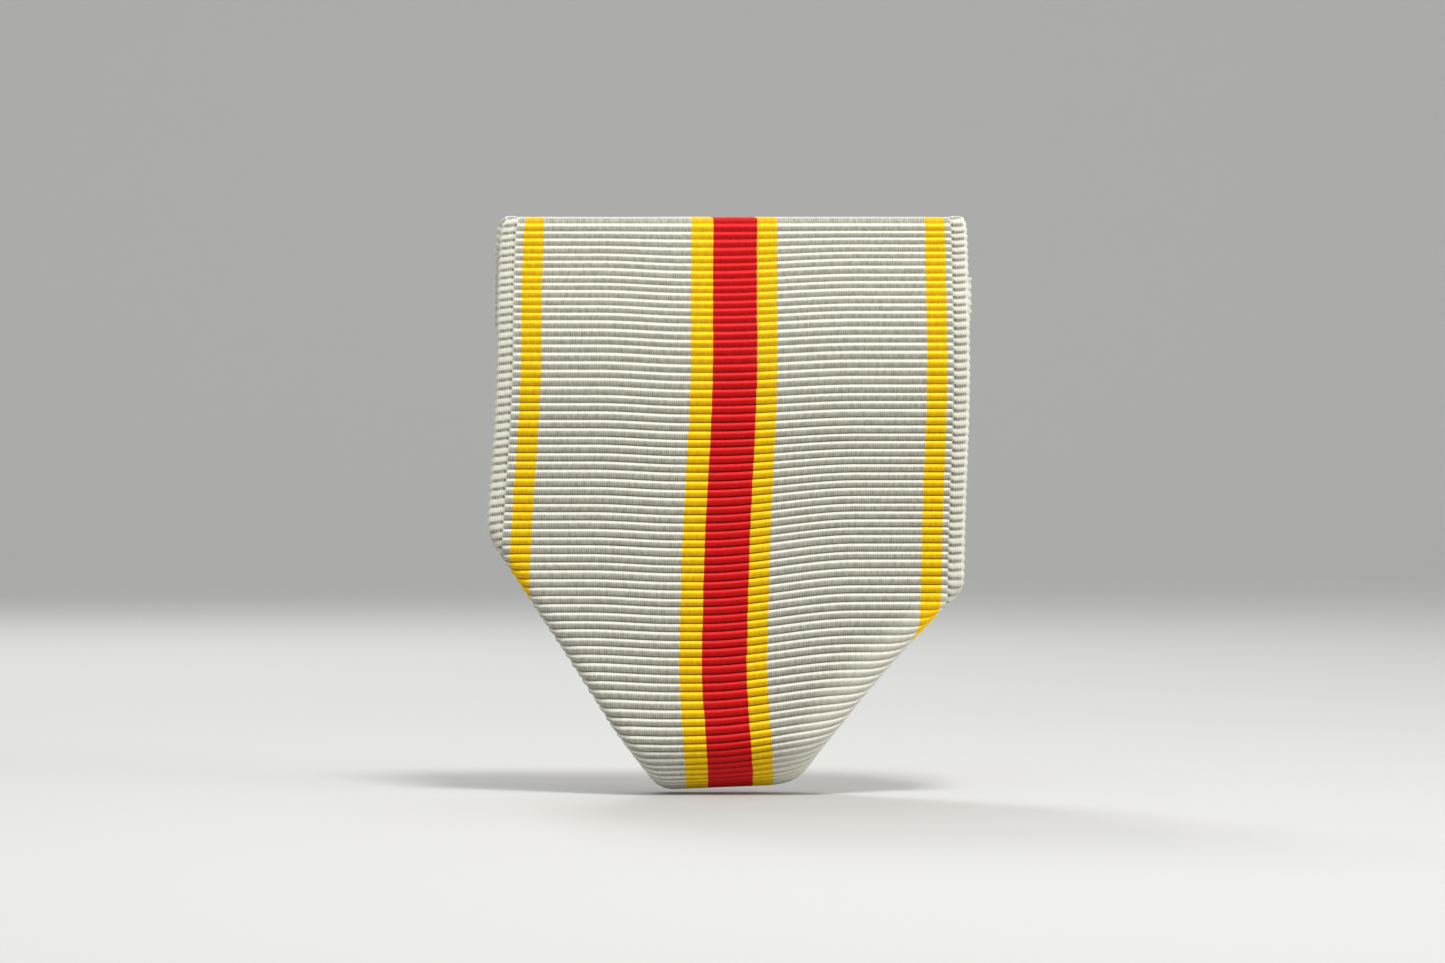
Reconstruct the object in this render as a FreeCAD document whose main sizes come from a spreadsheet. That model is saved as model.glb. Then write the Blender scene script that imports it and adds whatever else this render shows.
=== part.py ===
"""Ribbon drape of a medal, with the brooch that pins it to a coat.

The ribbon is one strip. It starts behind the brooch plate, folds over the plate's
top edge, hangs down the front, rolls under at the bottom and comes up the back,
where the clamp bar holds both ends. Its lower corners are tucked inwards, so that
the front narrows to a blunt point.

Frame: millimetres, X to the right and Z up as the front is seen, Y to the back.
The origin is on the axis of the pin, in the middle of the ribbon's width.
"""
import FreeCAD, Part
import math
import os
import Sketcher
from FreeCAD import Placement, Rotation, Vector

doc = FreeCAD.newDocument("medal_drape")

# Every size below is read from this sheet, by expressions or by value().
DIMENSIONS = (
    ("ribbon_width", 34.925),
    ("ribbon_thick", 0.5),
    ("layer_gap", 0.02),
    ("drape_height", 42.5),
    ("top_above_pin", 5.6),
    ("flap_length", 8.2),
    ("back_end_drop", 4.5),
    ("front_top_tilt", 10.0),
    ("front_tilt", 2.0),
    ("front_bend_radius", 20.0),
    ("front_bend_below_pin", 4.0),
    ("back_tilt", 3.3),
    ("back_bend_radius", 40.0),
    ("back_bend_below_pin", 3.5),
    ("roll_radius", 4.0),
    ("left_fold_drop", 24.4),
    ("left_fold_angle", 34.1),
    ("right_fold_drop", 26.8),
    ("right_fold_angle", 40.6),
    ("gusset_foot", 4.8),
    ("crease_front", 6.7),
    ("crease_back", 1.75),
    ("plate_width", 33.6),
    ("plate_height", 8.35),
    ("plate_thick", 0.7),
    ("plate_gap", 0.05),
    ("plate_corner", 0.9),
    ("plate_top_round", 0.33),
    ("bar_width", 32.8),
    ("bar_height", 6.0),
    ("bar_thick", 0.6),
    ("bar_corner", 1.5),
    ("bar_edge_round", 0.2),
    ("bead_length", 21.0),
    ("bead_height", 0.8),
    ("bead_rise", 0.25),
    ("bead_offset", 2.3),
    ("pin_standoff", 2.2),
    ("pivot_reach", 12.2),
    ("catch_reach", 12.2),
    ("rivet_reach", 14.6),
    ("rivet_radius", 0.74),
    ("rivet_play", 0.01),
    ("rivet_flare", 0.4),
    ("rivet_head_radius", 1.2),
    ("rivet_head_rise", 0.45),
    ("foot_thick", 0.4),
    ("foot_height", 2.9),
    ("foot_overhang", 1.5),
    ("foot_round", 0.9),
    ("ear_gap", 2.1),
    ("ear_thick", 0.4),
    ("ear_radius", 1.1),
    ("pivot_radius", 0.4),
    ("pivot_head_radius", 0.75),
    ("pivot_head_rise", 0.3),
    ("eye_radius", 0.95),
    ("eye_height", 1.9),
    ("eye_play", 0.03),
    ("stem_radius", 0.5),
    ("stem_root_radius", 0.68),
    ("stem_root_length", 1.8),
    ("stem_length", 21.0),
    ("point_length", 5.6),
    ("point_radius", 0.06),
    ("catch_radius", 1.75),
    ("catch_length", 2.2),
    ("catch_bore", 1.2),
    ("catch_bore_length", 1.5),
    ("catch_slot", 1.15),
    ("catch_neck", 2.0),
    ("window_start", 95.0),
    ("window_end", 52.0),
    ("lock_play", 0.05),
    ("lock_bore", 0.6),
    ("tab_angle", 70.0),
    ("tab_width", 0.7),
    ("tab_length", 2.3),
    ("tab_thick", 1.0),
    ("tab_knob_radius", 0.5),
)
sheet = doc.addObject("Spreadsheet::Sheet", "dims")
for row, (alias, number) in enumerate(DIMENSIONS, start=1):
    sheet.set(f"A{row}", alias)
    sheet.set(f"B{row}", str(number))
    sheet.setAlias(f"B{row}", alias)
doc.recompute()


def value(alias):
    """A driving dimension as a number, for the places where a sketch starts from."""
    return float(getattr(sheet, alias))


def add_body(label, **offsets):
    """A new body; offsets such as x='dims.catch_reach' place its local frame."""
    body = doc.addObject("PartDesign::Body", label)
    body.Label = label
    for axis, expression in offsets.items():
        body.setExpression(f"Placement.Base.{axis}", expression)
    return body


def add_sketch(body, name, plane, offset=None):
    """A sketch on one of the body's own planes, moved along the plane's normal."""
    sketch = body.newObject("Sketcher::SketchObject", name)
    for feature in body.Origin.OriginFeatures:
        if feature.Role == plane:
            sketch.AttachmentSupport = (feature, [""])
    sketch.MapMode = "FlatFace"
    if offset:
        sketch.setExpression("AttachmentOffset.Base.z", offset)
    return sketch


def constrain(sketch, kind, *where, expression=None, number=0.0):
    """One constraint; a dimension takes its number from an expression."""
    if expression is None:
        return sketch.addConstraint(Sketcher.Constraint(kind, *where))
    index = sketch.addConstraint(Sketcher.Constraint(kind, *where, number))
    sketch.setExpression(f"Constraints[{index}]", expression)
    return index


def locate(sketch, geometry, vertex, across, up, start):
    """Fix a vertex from the sketch's origin. start is its first place and gives the signs."""
    for kind, expression, first in (
        ("DistanceX", across, start[0]),
        ("DistanceY", up, start[1]),
    ):
        constrain(sketch, kind, -1, 1, geometry, vertex, expression=expression, number=first)


def polygon(sketch, points):
    """Lines through all the points, joined at their ends into one loop."""
    lines = []
    for here, there in zip(points, points[1:] + points[:1]):
        lines.append(sketch.addGeometry(Part.LineSegment(Vector(*here, 0), Vector(*there, 0))))
    for line, following in zip(lines, lines[1:] + lines[:1]):
        constrain(sketch, "Coincident", line, 2, following, 1)
    return lines


def rectangle(sketch, left, right, low, high):
    """An upright rectangle between four expressions."""
    edges = [float(sketch.evalExpression(side)) for side in (left, right, low, high)]
    x0, x1, y0, y1 = edges
    lines = polygon(sketch, [(x0, y0), (x1, y0), (x1, y1), (x0, y1)])
    for line in (lines[0], lines[2]):
        constrain(sketch, "Horizontal", line)
    for line in (lines[1], lines[3]):
        constrain(sketch, "Vertical", line)
    locate(sketch, lines[0], 1, left, low, (x0, y0))
    locate(sketch, lines[2], 1, right, high, (x1, y1))
    return lines


def circle(sketch, radius, across="0", up="0"):
    """A circle of a given radius about a given centre."""
    centre = [float(sketch.evalExpression(side)) for side in (across, up)]
    size = float(sketch.evalExpression(radius))
    ring = sketch.addGeometry(Part.Circle(Vector(*centre, 0), Vector(0, 0, 1), size))
    constrain(sketch, "Radius", ring, expression=radius, number=size)
    locate(sketch, ring, 3, across, up, centre)
    return ring


def extrude(body, kind, name, sketch, length, reverse=False, midplane=False):
    """A Pad or a Pocket of one sketch, by a length."""
    feature = body.newObject(f"PartDesign::{kind}", name)
    feature.Profile = sketch
    feature.setExpression("Length", length)
    feature.Reversed = reverse
    if midplane:
        feature.SideType = "Symmetric"
    doc.recompute()
    return feature


def cut(body, name, sketch, length, reverse=False, midplane=False):
    """A Pocket that must take material away."""
    before = body.Shape.Volume
    feature = extrude(body, "Pocket", name, sketch, length, reverse, midplane)
    if body.Shape.Volume > before - 1e-6:
        raise RuntimeError(f"{body.Label}: {name} cuts nothing")
    return feature


def round_edges(body, name, base, chosen, radius):
    """A fillet on the edges of the base for which chosen(edge) is true."""
    names = [f"Edge{i}" for i, edge in enumerate(base.Shape.Edges, start=1) if chosen(edge)]
    fillet = body.newObject("PartDesign::Fillet", name)
    fillet.Base = (base, names)
    fillet.setExpression("Radius", radius)
    doc.recompute()
    return fillet


def runs_along(edge, axis):
    """Whether an edge is a straight line along a given axis."""
    if not isinstance(edge.Curve, Part.Line):
        return False
    return abs(edge.Curve.Direction.dot(axis)) > 0.999


def revolve(body, name, sketch, axis):
    """A full turn of one sketch about an axis of the sketch."""
    feature = body.newObject("PartDesign::Revolution", name)
    feature.Profile = sketch
    feature.ReferenceAxis = (sketch, [axis])
    feature.Angle = 360.0
    doc.recompute()
    return feature


# Distances from the pin's axis towards the front, through the layers of the brooch.
BAR_BACK = "dims.pin_standoff"
BAR_FRONT = "(dims.pin_standoff + dims.bar_thick)"
FLAP_BACK = f"({BAR_FRONT} + dims.ribbon_thick + dims.layer_gap)"
PLATE_BACK = f"({FLAP_BACK} + dims.ribbon_thick)"
PLATE_FRONT = f"({PLATE_BACK} + dims.plate_thick)"
BOTTOM = "(dims.top_above_pin - dims.drape_height)"
PLATE_TOP = "(dims.top_above_pin - dims.ribbon_thick - dims.plate_gap)"


def layer_depths():
    """Y of the ribbon's mid-surface in the back end, the flap and the front panel."""
    thick = value("ribbon_thick")
    back = -(value("pin_standoff") + value("bar_thick") + thick / 2)
    flap = back - thick - value("layer_gap")
    front = flap - thick - value("plate_thick")
    return back, flap, front


def front_bend():
    """The front run's bend: its centre, and its first and last point, as (y, z)."""
    top_radius = (value("plate_thick") + value("ribbon_thick")) / 2
    top_y = layer_depths()[2] + top_radius
    top_z = value("top_above_pin") - value("ribbon_thick") / 2 - top_radius
    high = math.radians(value("front_top_tilt"))
    low = math.radians(value("front_tilt"))
    radius = value("front_bend_radius")
    centre_z = -value("front_bend_below_pin")
    # The line down from the top arc is tangent to both arcs, which gives the centre's y.
    fall = top_z - centre_z
    centre_y = top_y - top_radius / math.cos(high) + radius / math.cos(high) - fall * math.tan(high)
    start = (centre_y - radius * math.cos(high), centre_z + radius * math.sin(high))
    end = (centre_y - radius * math.cos(low), centre_z + radius * math.sin(low))
    return (centre_y, centre_z), start, end


def back_bend():
    """The same for the back run, from its lower to its upper point."""
    radius = value("back_bend_radius")
    rise = math.radians(value("back_tilt"))
    centre = (layer_depths()[0] + radius, -value("back_bend_below_pin"))
    low = (centre[0] - radius * math.cos(rise), centre[1] - radius * math.sin(rise))
    return centre, low, (centre[0] - radius, centre[1])


def ribbon_path(body):
    """The side view of the strip's mid-surface: straight runs joined by tangent arcs."""
    sketch = add_sketch(body, "ribbon_path", "YZ_Plane")
    thick = value("ribbon_thick")
    flap_y, front_y = layer_depths()[1:]
    top_radius = (value("plate_thick") + thick) / 2
    top_z = value("top_above_pin") - thick / 2 - top_radius
    flap_end = value("top_above_pin") - value("flap_length")
    back_end = value("top_above_pin") - value("back_end_drop")
    low_z = value("top_above_pin") - value("drape_height") + thick / 2
    high = math.radians(value("front_top_tilt"))
    lean = math.radians(value("front_tilt"))
    rise = math.radians(value("back_tilt"))
    roll = value("roll_radius")
    front_centre, front_start, front_end = front_bend()
    back_centre, back_low, back_high = back_bend()
    roll_z = low_z + roll * (1 + math.sin(lean))
    roll_y = front_end[0] - (front_end[1] - roll_z) * math.tan(lean)
    low_y = roll_y + roll * math.cos(lean)
    # The back run's line meets the small roll tangentially, which gives its radius.
    foot_y = back_low[0] + (back_low[1] - low_z) * math.tan(rise)
    small = (foot_y - low_y) / (1 / math.cos(rise) + math.tan(rise))
    small_y = low_y + small * math.cos(rise)
    small_z = low_z + small * (1 + math.sin(rise))
    top_y = (flap_y + front_y) / 2
    top_end = (top_y - top_radius * math.cos(high), top_z + top_radius * math.sin(high))

    def line(start, end):
        return sketch.addGeometry(Part.LineSegment(Vector(*start, 0), Vector(*end, 0)))

    def arc(centre, radius, start, end):
        ring = Part.Circle(Vector(*centre, 0), Vector(0, 0, 1), radius)
        return sketch.addGeometry(Part.ArcOfCircle(ring, start, end))

    quarter = math.pi / 2
    flap = line((flap_y, flap_end), (flap_y, top_z))
    top = arc((top_y, top_z), top_radius, 0, math.pi - high)
    upper = line(top_end, front_start)
    lean_bend = arc(front_centre, value("front_bend_radius"), math.pi - high, math.pi - lean)
    front = line(front_end, (roll_y, roll_z))
    big_roll = arc((low_y, low_z + roll), roll, math.pi - lean, 3 * quarter)
    small_roll = arc((low_y, low_z + small), small, -quarter, rise)
    back = line((small_y, small_z), back_low)
    rise_bend = arc(back_centre, value("back_bend_radius"), math.pi, math.pi + rise)
    end = line(back_high, (back_high[0], back_end))

    joints = (
        (flap, 2, top, 1),
        (top, 2, upper, 1),
        (upper, 2, lean_bend, 1),
        (lean_bend, 2, front, 1),
        (front, 2, big_roll, 1),
        (big_roll, 2, small_roll, 1),
        (small_roll, 2, back, 1),
        (back, 2, rise_bend, 2),
        (rise_bend, 1, end, 1),
    )
    for first, first_end, second, second_end in joints:
        constrain(sketch, "Tangent", first, first_end, second, second_end)
    for upright in (flap, end):
        constrain(sketch, "Vertical", upright)
    radii = (
        (top, "(dims.plate_thick + dims.ribbon_thick) / 2", top_radius),
        (lean_bend, "dims.front_bend_radius", value("front_bend_radius")),
        (big_roll, "dims.roll_radius", roll),
        (rise_bend, "dims.back_bend_radius", value("back_bend_radius")),
    )
    for bent, expression, radius in radii:
        constrain(sketch, "Radius", bent, expression=expression, number=radius)
    heights = (
        (top, 3, "dims.top_above_pin - dims.ribbon_thick - dims.plate_thick / 2", top_z),
        (lean_bend, 3, "-dims.front_bend_below_pin", front_centre[1]),
        (big_roll, 2, f"{BOTTOM} + dims.ribbon_thick / 2", low_z),
        (rise_bend, 3, "-dims.back_bend_below_pin", back_centre[1]),
    )
    for bent, vertex, expression, height in heights:
        constrain(
            sketch, "DistanceY", -1, 1, bent, vertex, expression=expression, number=height
        )
    constrain(sketch, "Vertical", big_roll, 3, big_roll, 2)
    slopes = (
        (upper, 2, "-dims.front_top_tilt * 1 deg", -high),
        (front, 2, "-dims.front_tilt * 1 deg", -lean),
        (back, 1, "dims.back_tilt * 1 deg", rise),
    )
    for run, vertex, expression, slope in slopes:
        constrain(sketch, "Angle", -2, 1, run, vertex, expression=expression, number=slope)
    locate(
        sketch, flap, 1, f"-({FLAP_BACK} + dims.ribbon_thick / 2)",
        "dims.top_above_pin - dims.flap_length", (flap_y, flap_end),
    )
    locate(
        sketch, end, 2, f"-({BAR_FRONT} + dims.ribbon_thick / 2)",
        "dims.top_above_pin - dims.back_end_drop", (back_high[0], back_end),
    )
    return sketch


def fold_line_points(side):
    """Where one corner's fold starts at the edge, and how it leans, in the front view."""
    sign = -1 if side == "left" else 1
    edge = sign * value("ribbon_width") / 2
    start = value("top_above_pin") - value(f"{side}_fold_drop")
    lean = math.radians(value(f"{side}_fold_angle"))
    return sign, edge, start, lean


def cut_corner(body, side):
    """Take the corner off outside the fold: a triangle in the front view."""
    sign, edge, start, lean = fold_line_points(side)
    below = 1.0
    low = value("top_above_pin") - value("drape_height") - below
    foot = edge - sign * (start - low) * math.tan(lean)
    sketch = add_sketch(body, f"{side}_corner", "XZ_Plane")
    fold, bottom, outer = polygon(sketch, [(edge, start), (foot, low), (edge, low)])
    constrain(sketch, "Horizontal", bottom)
    constrain(sketch, "Vertical", outer)
    locate(
        sketch, fold, 1, f"{sign} * dims.ribbon_width / 2",
        f"dims.top_above_pin - dims.{side}_fold_drop", (edge, start),
    )
    reach = f"(dims.drape_height + {below} - dims.{side}_fold_drop)"
    locate(
        sketch, bottom, 1,
        f"{sign} * (dims.ribbon_width / 2 - {reach} * tan(dims.{side}_fold_angle * 1 deg))",
        f"{BOTTOM} - {below}", (foot, low),
    )
    cut(body, f"{side}_corner_cut", sketch, "8 * dims.roll_radius", midplane=True)


def gusset_corner(side):
    """The tucked-in triangle: on the fold low down, on the fold at the edge, and inside.

    The inner corner is the strip's edge, level with the bottom, mirrored in the fold.
    """
    sign, edge, start, lean = fold_line_points(side)
    bottom = value("top_above_pin") - value("drape_height")
    foot_z = bottom + value("gusset_foot")
    foot = (edge - sign * (start - foot_z) * math.tan(lean), foot_z)
    along = Vector(-sign * math.sin(lean), -math.cos(lean), 0)
    down = Vector(0, bottom - start, 0)
    mirrored = along * (2 * down.dot(along)) - down
    return foot, (edge, start), (edge + mirrored.x, start + mirrored.y)


def gusset_leaf(body, side, face):
    """One of a gusset's two layers, laid on the inner face of the front or back run."""
    foot, edge, inner = gusset_corner(side)
    front = face == "front"
    tilt = value(f"{face}_tilt") * (-1 if front else 1)
    pivot_y, pivot_z = front_bend()[2] if front else back_bend()[1]
    sketch = add_sketch(body, f"{side}_{face}_leaf", "XZ_Plane")
    sketch.AttachmentOffset = Placement(
        Vector(0, pivot_z, -pivot_y), Rotation(Vector(1, 0, 0), tilt)
    )
    points = [(x, z - pivot_z) for x, z in (foot, edge, inner)]
    polygon(sketch, points)
    extrude(body, "Pad", f"{side}_{face}_gusset", sketch, "1.5 * dims.ribbon_thick", reverse=front)


def gusset_crease(body, side):
    """The strip across the loop where a gusset's two layers meet."""
    foot, edge, inner = gusset_corner(side)
    run = Vector(inner[0] - foot[0], inner[1] - foot[1], 0)
    run.normalize()
    across = Vector(run.y, -run.x, 0) * (value("ribbon_thick") / 2)
    corners = [
        (foot[0] - across.x, foot[1] - across.y),
        (foot[0] + across.x, foot[1] + across.y),
        (inner[0] + across.x, inner[1] + across.y),
        (inner[0] - across.x, inner[1] - across.y),
    ]
    sketch = add_sketch(body, f"{side}_crease", "XZ_Plane", "dims.crease_back")
    polygon(sketch, corners)
    extrude(body, "Pad", f"{side}_crease_wall", sketch, "dims.crease_front - dims.crease_back")


def make_ribbon():
    body = add_body("ribbon")
    path = ribbon_path(body)
    doc.recompute()
    section = add_sketch(body, "ribbon_section", "XY_Plane", "dims.top_above_pin - dims.flap_length")
    rectangle(
        section, "-dims.ribbon_width / 2", "dims.ribbon_width / 2",
        f"-{PLATE_BACK}", f"-{FLAP_BACK}",
    )
    doc.recompute()
    strip = body.newObject("PartDesign::AdditivePipe", "strip")
    strip.Profile = section
    strip.Spine = (path, [])
    doc.recompute()
    for side in ("left", "right"):
        for face in ("front", "back"):
            gusset_leaf(body, side, face)
        gusset_crease(body, side)
    for side in ("left", "right"):
        cut_corner(body, side)
    holes = add_sketch(body, "rivet_holes", "XZ_Plane", BAR_FRONT)
    for sign in (-1, 1):
        circle(holes, "dims.rivet_radius + dims.rivet_play", f"{sign} * dims.rivet_reach")
    cut(body, "rivet_hole_cut", holes, "2 * (dims.ribbon_thick + dims.layer_gap)", reverse=True)
    return body


def make_brooch_plate():
    """The stiff plate inside the top fold, with its top edge rounded for the ribbon."""
    body = add_body("brooch_plate")
    outline = add_sketch(body, "outline", "XZ_Plane", PLATE_BACK)
    rectangle(
        outline, "-dims.plate_width / 2", "dims.plate_width / 2",
        f"{PLATE_TOP} - dims.plate_height", PLATE_TOP,
    )
    slab = extrude(body, "Pad", "slab", outline, "dims.plate_thick")
    depth = Vector(0, 1, 0)
    corners = round_edges(body, "corners", slab, lambda e: runs_along(e, depth), "dims.plate_corner")
    top_z = value("top_above_pin") - value("ribbon_thick") - value("plate_gap")

    def at_top(edge):
        return runs_along(edge, Vector(1, 0, 0)) and abs(edge.BoundBox.ZMax - top_z) < 1e-4

    round_edges(body, "top_round", corners, at_top, "dims.plate_top_round")
    holes = add_sketch(body, "rivet_holes", "XZ_Plane", PLATE_BACK)
    for sign in (-1, 1):
        circle(holes, "dims.rivet_radius + dims.rivet_play", f"{sign} * dims.rivet_reach")
    drilled = cut(body, "rivet_hole_cut", holes, "dims.plate_thick", reverse=True)
    front_y = layer_depths()[2] + value("ribbon_thick") / 2

    def at_front_of_hole(edge):
        return isinstance(edge.Curve, Part.Circle) and edge.Closed and abs(edge.BoundBox.YMax - front_y) < 1e-4

    names = [f"Edge{i}" for i, e in enumerate(drilled.Shape.Edges, start=1) if at_front_of_hole(e)]
    flare = body.newObject("PartDesign::Chamfer", "rivet_flare")
    flare.Base = (drilled, names)
    flare.setExpression("Size", "dims.rivet_flare")
    doc.recompute()
    return body


def make_clamp_bar():
    """The pressed bar on the back, which squeezes both ends of the ribbon on the plate."""
    body = add_body("clamp_bar")
    outline = add_sketch(body, "outline", "XZ_Plane", BAR_BACK)
    low = f"({PLATE_TOP} - dims.plate_height)"
    rectangle(
        outline, "-dims.bar_width / 2", "dims.bar_width / 2", low, f"{low} + dims.bar_height"
    )
    slab = extrude(body, "Pad", "slab", outline, "dims.bar_thick")
    depth = Vector(0, 1, 0)
    corners = round_edges(body, "corners", slab, lambda e: runs_along(e, depth), "dims.bar_corner")
    back_y = -value("pin_standoff")
    rounded = round_edges(
        body, "edge_round", corners,
        lambda e: e.BoundBox.YMin > back_y - 1e-4, "dims.bar_edge_round",
    )
    bead = add_sketch(body, "bead_outline", "XZ_Plane", BAR_BACK)
    rectangle(
        bead, "-dims.bead_length / 2", "dims.bead_length / 2",
        "-dims.bead_offset - dims.bead_height / 2", "-dims.bead_offset + dims.bead_height / 2",
    )
    pressed = extrude(body, "Pad", "bead", bead, "dims.bead_rise", reverse=True)
    top_y = back_y + value("bead_rise")
    round_edges(
        body, "bead_round", pressed, lambda e: e.BoundBox.YMin > top_y - 1e-4, "0.8 * dims.bead_rise"
    )
    holes = add_sketch(body, "rivet_holes", "XZ_Plane", BAR_BACK)
    for sign in (-1, 1):
        circle(holes, "dims.rivet_radius + dims.rivet_play", f"{sign} * dims.rivet_reach")
    cut(body, "rivet_hole_cut", holes, "2 * dims.bar_thick", midplane=True)
    return body


def add_foot(body, inner, outer):
    """The flat foot of the hinge or the catch, on the bar, with a hole for its rivet."""
    outline = add_sketch(body, "foot_outline", "XZ_Plane", BAR_BACK)
    sides = (inner, outer) if outer.startswith("dims") else (outer, inner)
    rectangle(outline, *sides, "-dims.foot_height / 2", "dims.foot_height / 2")
    foot = extrude(body, "Pad", "foot", outline, "dims.foot_thick", reverse=True)
    depth = Vector(0, 1, 0)
    return round_edges(body, "foot_round", foot, lambda e: runs_along(e, depth), "dims.foot_round")


def drill_foot(body, across):
    hole = add_sketch(body, "rivet_hole", "XZ_Plane", BAR_BACK)
    circle(hole, "dims.rivet_radius + dims.rivet_play", across)
    cut(body, "rivet_hole_cut", hole, "4 * dims.foot_thick", midplane=True)


def make_hinge_bracket():
    """A bent strip: a foot on the bar and two ears that carry the pivot."""
    body = add_body("hinge_bracket", x="-dims.pivot_reach")
    reach = "(dims.rivet_reach - dims.pivot_reach)"
    add_foot(body, "dims.ear_radius", f"-{reach} - dims.foot_overhang")
    radius = value("ear_radius")
    base = -value("pin_standoff")
    sketch = add_sketch(body, "ear_outline", "XY_Plane", "dims.ear_gap / 2")
    sides = [
        sketch.addGeometry(Part.LineSegment(Vector(-radius, 0, 0), Vector(-radius, base, 0))),
        sketch.addGeometry(Part.LineSegment(Vector(-radius, base, 0), Vector(radius, base, 0))),
        sketch.addGeometry(Part.LineSegment(Vector(radius, base, 0), Vector(radius, 0, 0))),
    ]
    ring = Part.Circle(Vector(0, 0, 0), Vector(0, 0, 1), radius)
    crown = sketch.addGeometry(Part.ArcOfCircle(ring, 0, math.pi))
    constrain(sketch, "Coincident", sides[0], 2, sides[1], 1)
    constrain(sketch, "Coincident", sides[1], 2, sides[2], 1)
    constrain(sketch, "Tangent", sides[2], 2, crown, 1)
    constrain(sketch, "Tangent", sides[0], 1, crown, 2)
    constrain(sketch, "Coincident", crown, 3, -1, 1)
    constrain(sketch, "Horizontal", sides[1])
    constrain(sketch, "Vertical", sides[0])
    constrain(sketch, "Radius", crown, expression="dims.ear_radius", number=radius)
    constrain(
        sketch, "DistanceY", -1, 1, sides[1], 1, expression="-dims.pin_standoff", number=base
    )
    ear = extrude(body, "Pad", "upper_ear", sketch, "dims.ear_thick")
    pair = body.newObject("PartDesign::Mirrored", "ears")
    for feature in body.Origin.OriginFeatures:
        if feature.Role == "XY_Plane":
            pair.MirrorPlane = (feature, [""])
    pair.Originals = [ear]
    body.Tip = pair
    doc.recompute()
    hole = add_sketch(body, "pivot_hole", "XY_Plane")
    circle(hole, "dims.pivot_radius")
    cut(body, "pivot_hole_cut", hole, "2 * dims.foot_height", midplane=True)
    drill_foot(body, f"-{reach}")
    return body


def make_hinge_pivot():
    """The small rivet through both ears, with a low head on each end."""
    body = add_body("hinge_pivot", x="-dims.pivot_reach")
    half = value("foot_height") / 2
    shank = add_sketch(body, "shank_outline", "XY_Plane")
    circle(shank, "dims.pivot_radius")
    extrude(body, "Pad", "shank", shank, "dims.foot_height", midplane=True)
    for name, offset, reverse in (
        ("upper_head", "dims.foot_height / 2", False),
        ("lower_head", "-dims.foot_height / 2", True),
    ):
        head = add_sketch(body, f"{name}_outline", "XY_Plane", offset)
        circle(head, "dims.pivot_head_radius")
        pad = extrude(body, "Pad", name, head, "dims.pivot_head_rise", reverse=reverse)
        reach = half + value("pivot_head_rise")
        round_edges(
            body, f"{name}_round", pad,
            lambda e: abs(abs(e.BoundBox.Center.z) - reach) < 1e-4
            and e.BoundBox.ZLength < 1e-4
            and (e.BoundBox.Center.z > 0) != reverse,
            "0.8 * dims.pivot_head_rise",
        )
    return body


def make_pin_stem():
    """The pin: an eye on the pivot, a round stem along X and a long tapered point."""
    body = add_body("pin_stem", x="-dims.pivot_reach")
    eye = add_sketch(body, "eye_outline", "XY_Plane")
    circle(eye, "dims.eye_radius")
    extrude(body, "Pad", "eye", eye, "dims.eye_height", midplane=True)
    names = ("eye_radius", "stem_root_radius", "stem_root_length", "stem_radius", "stem_length")
    eye_radius, root_radius, root_end, radius, length = [value(name) for name in names]
    tip = length + value("point_length")
    start = eye_radius * 0.7
    sketch = add_sketch(body, "stem_outline", "XY_Plane")
    corners = [
        (start, 0),
        (tip, 0),
        (tip, value("point_radius")),
        (length, radius),
        (root_end, radius),
        (start, root_radius),
    ]
    axis, end, point, side, root, inner = polygon(sketch, corners)
    constrain(sketch, "Horizontal", axis)
    constrain(sketch, "Vertical", end)
    constrain(sketch, "Vertical", inner)
    places = (
        (axis, "0.7 * dims.eye_radius", "0"),
        (side, "dims.stem_length", "dims.stem_radius"),
        (root, "dims.stem_root_length", "dims.stem_radius"),
    )
    for line, across, up in places:
        first = [float(sketch.evalExpression(side_of)) for side_of in (across, up)]
        locate(sketch, line, 1, across, up, first)
    locate(
        sketch, point, 1, "dims.stem_length + dims.point_length", "dims.point_radius",
        (tip, value("point_radius")),
    )
    constrain(
        sketch, "DistanceY", -1, 1, inner, 1, expression="dims.stem_root_radius", number=root_radius
    )
    revolve(body, "stem", sketch, "H_Axis")
    hole = add_sketch(body, "pivot_hole", "XY_Plane")
    circle(hole, "dims.pivot_radius + dims.eye_play")
    cut(body, "pivot_hole_cut", hole, "2 * dims.eye_height", midplane=True)
    return body


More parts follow.
